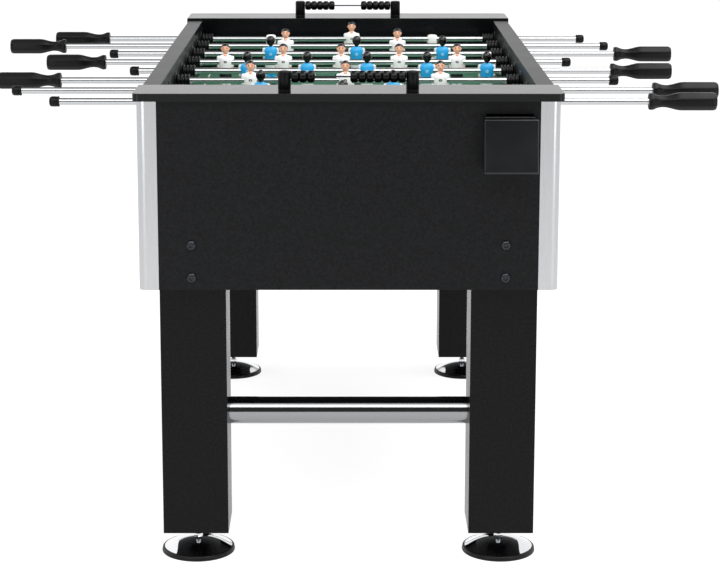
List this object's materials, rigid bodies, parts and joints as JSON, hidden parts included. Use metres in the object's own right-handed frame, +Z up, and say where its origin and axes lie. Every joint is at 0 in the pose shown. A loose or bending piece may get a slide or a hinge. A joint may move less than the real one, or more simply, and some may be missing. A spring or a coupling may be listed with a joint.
{
  "type": "foosball table",
  "caption": "Free-standing table football game with spinning, sliding player rods, end ball returns, bead scorers, square legs and levelling feet.",
  "frame": {"origin": "on the floor at the middle of the table, under the cabinet's centre", "axes": "+Z up, the front end faces -Y, +X to the right seen from the front end; the rods run along X"},
  "size_m": [1.476, 1.504, 0.9095],
  "materials": {
    "rail_laminate": "fine pebbled black laminate",
    "cabinet_laminate": "fine pebbled black laminate",
    "trim_aluminium": "satin anodised",
    "inner_wall": "smooth black laminate",
    "board_mdf": "bare fibreboard",
    "field_print": "printed green with white lines, satin",
    "return_plastic": "moulded black, satin",
    "bolt_steel": "black oxide",
    "tube_chrome": "polished",
    "rod_chrome": "polished",
    "foot_chrome": "polished disc with a black rubber ring",
    "bearing_plastic": "moulded",
    "bumper_rubber": "ribbed",
    "post_plastic": "moulded",
    "wire_steel": "black",
    "bead_plastic": "polished",
    "men_blue": "painted",
    "men_white": "painted",
    "grip_plastic": "moulded, fine grain",
    "cap_plastic": "moulded"
  },
  "bodies": {
    "table": {"end_rails": "rail_laminate", "side_rails": "rail_laminate", "side_aprons": "cabinet_laminate", "end_panels": "cabinet_laminate", "corner_trims": "trim_aluminium", "goal_walls": "inner_wall", "playfield_board": "board_mdf", "playfield_surface": "field_print", "field_cleats": "board_mdf", "goal_ramps": "board_mdf", "ball_returns": "return_plastic", "legs_front": "cabinet_laminate", "legs_rear": "cabinet_laminate", "leg_bolts": "bolt_steel", "cross_tubes": "tube_chrome", "bearings": "bearing_plastic", "bumpers": "bumper_rubber", "scorer_posts": "post_plastic", "scorer_wires": "wire_steel"},
    "slide_1": {"end_cap_1": "cap_plastic"},
    "spin_1": {"rod_1": "rod_chrome", "men_1": "men_blue", "handle_1": "grip_plastic"},
    "slide_2": {"end_cap_2": "cap_plastic"},
    "spin_2": {"rod_2": "rod_chrome", "men_2": "men_blue", "handle_2": "grip_plastic"},
    "slide_3": {"end_cap_3": "cap_plastic"},
    "spin_3": {"rod_3": "rod_chrome", "men_3": "men_white", "handle_3": "grip_plastic"},
    "slide_4": {"end_cap_4": "cap_plastic"},
    "spin_4": {"rod_4": "rod_chrome", "men_4": "men_blue", "handle_4": "grip_plastic"},
    "slide_5": {"end_cap_5": "cap_plastic"},
    "spin_5": {"rod_5": "rod_chrome", "men_5": "men_white", "handle_5": "grip_plastic"},
    "slide_6": {"end_cap_6": "cap_plastic"},
    "spin_6": {"rod_6": "rod_chrome", "men_6": "men_blue", "handle_6": "grip_plastic"},
    "slide_7": {"end_cap_7": "cap_plastic"},
    "spin_7": {"rod_7": "rod_chrome", "men_7": "men_white", "handle_7": "grip_plastic"},
    "slide_8": {"end_cap_8": "cap_plastic"},
    "spin_8": {"rod_8": "rod_chrome", "men_8": "men_white", "handle_8": "grip_plastic"},
    "beads_front_left": {"beads_front_left": "bead_plastic"},
    "beads_front_right": {"beads_front_right": "bead_plastic"},
    "beads_rear_left": {"beads_rear_left": "bead_plastic"},
    "beads_rear_right": {"beads_rear_right": "bead_plastic"},
    "foot_1": {"leveler_1": "foot_chrome"},
    "foot_2": {"leveler_2": "foot_chrome"},
    "foot_3": {"leveler_3": "foot_chrome"},
    "foot_4": {"leveler_4": "foot_chrome"}
  },
  "joints": [
    {"name": "rod_1_slide", "type": "slide", "parent": "table", "child": "slide_1", "axis": [1, 0, 0], "range_m": [-0.1038, 0.1238]},
    {"name": "rod_1_spin", "type": "hinge", "parent": "slide_1", "child": "spin_1", "pos_m": [0, -0.518, 0.834], "axis": [1, 0, 0], "continuous": true},
    {"name": "rod_2_slide", "type": "slide", "parent": "table", "child": "slide_2", "axis": [1, 0, 0], "range_m": [-0.12795, 0.20995]},
    {"name": "rod_2_spin", "type": "hinge", "parent": "slide_2", "child": "spin_2", "pos_m": [0, -0.37, 0.834], "axis": [1, 0, 0], "continuous": true},
    {"name": "rod_3_slide", "type": "slide", "parent": "table", "child": "slide_3", "axis": [1, 0, 0], "range_m": [-0.10155, 0.11255]},
    {"name": "rod_3_spin", "type": "hinge", "parent": "slide_3", "child": "spin_3", "pos_m": [0, -0.222, 0.834], "axis": [1, 0, 0], "continuous": true},
    {"name": "rod_4_slide", "type": "slide", "parent": "table", "child": "slide_4", "axis": [1, 0, 0], "range_m": [-0.08815, 0.01015]},
    {"name": "rod_4_spin", "type": "hinge", "parent": "slide_4", "child": "spin_4", "pos_m": [0, -0.074, 0.834], "axis": [1, 0, 0], "continuous": true},
    {"name": "rod_5_slide", "type": "slide", "parent": "table", "child": "slide_5", "axis": [1, 0, 0], "range_m": [-0.03465, 0.06365]},
    {"name": "rod_5_spin", "type": "hinge", "parent": "slide_5", "child": "spin_5", "pos_m": [0, 0.074, 0.834], "axis": [1, 0, 0], "continuous": true},
    {"name": "rod_6_slide", "type": "slide", "parent": "table", "child": "slide_6", "axis": [1, 0, 0], "range_m": [-0.12605, 0.08805]},
    {"name": "rod_6_spin", "type": "hinge", "parent": "slide_6", "child": "spin_6", "pos_m": [0, 0.222, 0.834], "axis": [1, 0, 0], "continuous": true},
    {"name": "rod_7_slide", "type": "slide", "parent": "table", "child": "slide_7", "axis": [1, 0, 0], "range_m": [-0.15445, 0.18345]},
    {"name": "rod_7_spin", "type": "hinge", "parent": "slide_7", "child": "spin_7", "pos_m": [0, 0.37, 0.834], "axis": [1, 0, 0], "continuous": true},
    {"name": "rod_8_slide", "type": "slide", "parent": "table", "child": "slide_8", "axis": [1, 0, 0], "range_m": [-0.1228, 0.1048]},
    {"name": "rod_8_spin", "type": "hinge", "parent": "slide_8", "child": "spin_8", "pos_m": [0, 0.518, 0.834], "axis": [1, 0, 0], "continuous": true},
    {"name": "beads_front_left_slide", "type": "slide", "parent": "table", "child": "beads_front_left", "axis": [1, 0, 0], "range_m": [0, 0.0621]},
    {"name": "beads_front_right_slide", "type": "slide", "parent": "table", "child": "beads_front_right", "axis": [1, 0, 0], "range_m": [-0.0621, 0]},
    {"name": "beads_rear_left_slide", "type": "slide", "parent": "table", "child": "beads_rear_left", "axis": [1, 0, 0], "range_m": [0, 0.0621]},
    {"name": "beads_rear_right_slide", "type": "slide", "parent": "table", "child": "beads_rear_right", "axis": [1, 0, 0], "range_m": [-0.0621, 0]},
    {"name": "foot_1_turn", "type": "hinge", "parent": "table", "child": "foot_1", "pos_m": [-0.281, -0.618, 0], "axis": [0, 0, 1], "continuous": true},
    {"name": "foot_2_turn", "type": "hinge", "parent": "table", "child": "foot_2", "pos_m": [0.281, -0.618, 0], "axis": [0, 0, 1], "continuous": true},
    {"name": "foot_3_turn", "type": "hinge", "parent": "table", "child": "foot_3", "pos_m": [-0.281, 0.618, 0], "axis": [0, 0, 1], "continuous": true},
    {"name": "foot_4_turn", "type": "hinge", "parent": "table", "child": "foot_4", "pos_m": [0.281, 0.618, 0], "axis": [0, 0, 1], "continuous": true}
  ]
}
